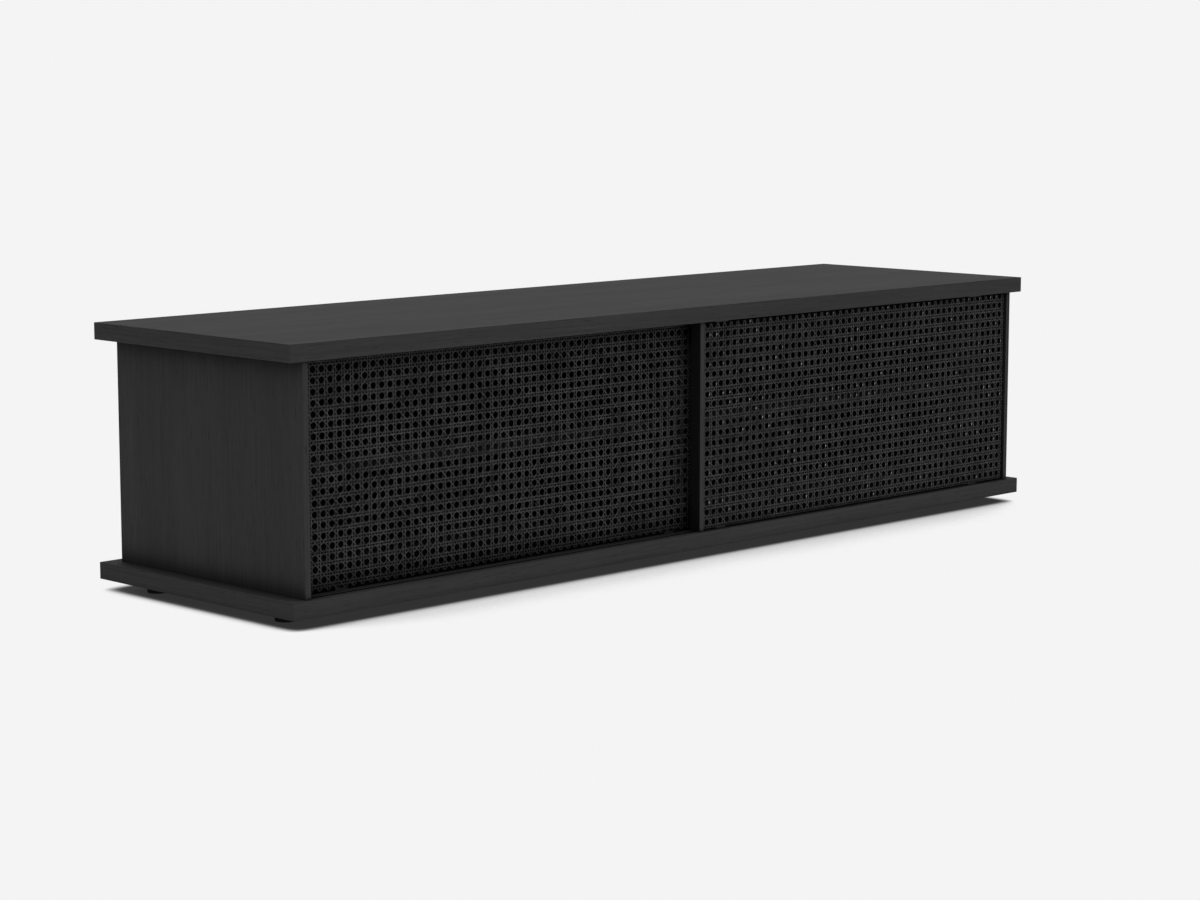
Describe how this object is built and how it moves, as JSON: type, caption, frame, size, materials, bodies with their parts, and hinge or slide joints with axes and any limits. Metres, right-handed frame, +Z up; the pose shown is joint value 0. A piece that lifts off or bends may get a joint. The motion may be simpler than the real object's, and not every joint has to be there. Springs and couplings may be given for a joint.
{
  "type": "tv unit",
  "caption": "Low black wood TV unit with overhanging top and base slabs, overlapping sliding doors faced with woven cane, inner shelves, rear cable holes and short round feet.",
  "frame": {"origin": "on the floor, under the middle of the slabs", "axes": "+X along the width to the viewer's right, -Y towards the front with the doors, +Z up"},
  "size_m": [1.62, 0.45, 0.393],
  "materials": {
    "black_stained_veneer": "satin black stain, open grain",
    "black_stained_ash": "satin black stain",
    "black_painted_ash": "dead matt black paint",
    "black_inner_board": "matt black foil",
    "black_back_board": "matt painted hardboard",
    "black_cane": "black lacquered woven rattan cane",
    "black_anodised_aluminium": "black anodised",
    "beech_dowel": "raw",
    "black_foot_plastic": "moulded",
    "black_grommet_plastic": "moulded",
    "black_housing_plastic": "moulded",
    "black_nylon": "turned black nylon",
    "black_rubber": "moulded",
    "cast_zinc": "die-cast zinc",
    "zinc_plated_steel": "zinc plated"
  },
  "bodies": {
    "cabinet": {"back_panel_left": "black_back_board", "back_panel_right": "black_back_board", "back_screws": "zinc_plated_steel", "base_panel": "black_stained_veneer", "cable_grommet_left": "black_grommet_plastic", "cable_grommet_right": "black_grommet_plastic", "cam_bolts": "zinc_plated_steel", "cam_housings": "cast_zinc", "carcass_dowels": "beech_dowel", "centre_divider": "black_inner_board", "door_stops": "black_rubber", "foot_front_left": "black_foot_plastic", "foot_front_middle": "black_foot_plastic", "foot_front_right": "black_foot_plastic", "foot_rear_left": "black_foot_plastic", "foot_rear_middle": "black_foot_plastic", "foot_rear_right": "black_foot_plastic", "foot_screws": "zinc_plated_steel", "lower_track_front": "black_anodised_aluminium", "lower_track_rear": "black_anodised_aluminium", "shelf_left": "black_inner_board", "shelf_pins": "zinc_plated_steel", "shelf_right": "black_inner_board", "side_panel_left": "black_stained_veneer", "side_panel_right": "black_stained_veneer", "top_panel": "black_stained_veneer", "upper_track_front": "black_anodised_aluminium", "upper_track_rear": "black_anodised_aluminium"},
    "left_door": {"left_door_bottom_rail": "black_painted_ash", "left_door_cane_panel": "black_cane", "left_door_corner_dowels": "beech_dowel", "left_door_meeting_stile": "black_stained_ash", "left_door_outer_stile": "black_painted_ash", "left_door_roller_axles": "zinc_plated_steel", "left_door_roller_housing_1": "black_housing_plastic", "left_door_roller_housing_2": "black_housing_plastic", "left_door_top_guide_1": "black_nylon", "left_door_top_guide_2": "black_nylon", "left_door_top_rail": "black_painted_ash"},
    "left_door_roller_1_wheel": {"left_door_roller_1": "black_nylon"},
    "left_door_roller_2_wheel": {"left_door_roller_2": "black_nylon"},
    "right_door": {"right_door_bottom_rail": "black_painted_ash", "right_door_cane_panel": "black_cane", "right_door_corner_dowels": "beech_dowel", "right_door_meeting_stile": "black_stained_ash", "right_door_outer_stile": "black_painted_ash", "right_door_roller_axles": "zinc_plated_steel", "right_door_roller_housing_1": "black_housing_plastic", "right_door_roller_housing_2": "black_housing_plastic", "right_door_top_guide_1": "black_nylon", "right_door_top_guide_2": "black_nylon", "right_door_top_rail": "black_painted_ash"},
    "right_door_roller_1_wheel": {"right_door_roller_1": "black_nylon"},
    "right_door_roller_2_wheel": {"right_door_roller_2": "black_nylon"}
  },
  "joints": [
    {"name": "left_door_slide", "type": "slide", "parent": "cabinet", "child": "left_door", "axis": [1, 0, 0], "range_m": [0, 0.7527]},
    {"name": "right_door_slide", "type": "slide", "parent": "cabinet", "child": "right_door", "axis": [1, 0, 0], "range_m": [-0.7727, 0]},
    {"name": "left_door_roller_1_spin", "type": "hinge", "parent": "left_door", "child": "left_door_roller_1_wheel", "pos_m": [-0.0372, -0.1876, 0.0468], "axis": [0, 1, 0], "continuous": true},
    {"name": "left_door_roller_2_spin", "type": "hinge", "parent": "left_door", "child": "left_door_roller_2_wheel", "pos_m": [-0.6967, -0.1876, 0.0468], "axis": [0, 1, 0], "continuous": true},
    {"name": "right_door_roller_1_spin", "type": "hinge", "parent": "right_door", "child": "right_door_roller_1_wheel", "pos_m": [0.0572, -0.2106, 0.0468], "axis": [0, 1, 0], "continuous": true},
    {"name": "right_door_roller_2_spin", "type": "hinge", "parent": "right_door", "child": "right_door_roller_2_wheel", "pos_m": [0.6967, -0.2106, 0.0468], "axis": [0, 1, 0], "continuous": true}
  ],
  "couplings": [
    {"joint": "left_door_roller_1_spin", "follows": "left_door_slide", "rad_per_m": 83.333},
    {"joint": "left_door_roller_2_spin", "follows": "left_door_slide", "rad_per_m": 83.333},
    {"joint": "right_door_roller_1_spin", "follows": "right_door_slide", "rad_per_m": 83.333},
    {"joint": "right_door_roller_2_spin", "follows": "right_door_slide", "rad_per_m": 83.333}
  ]
}
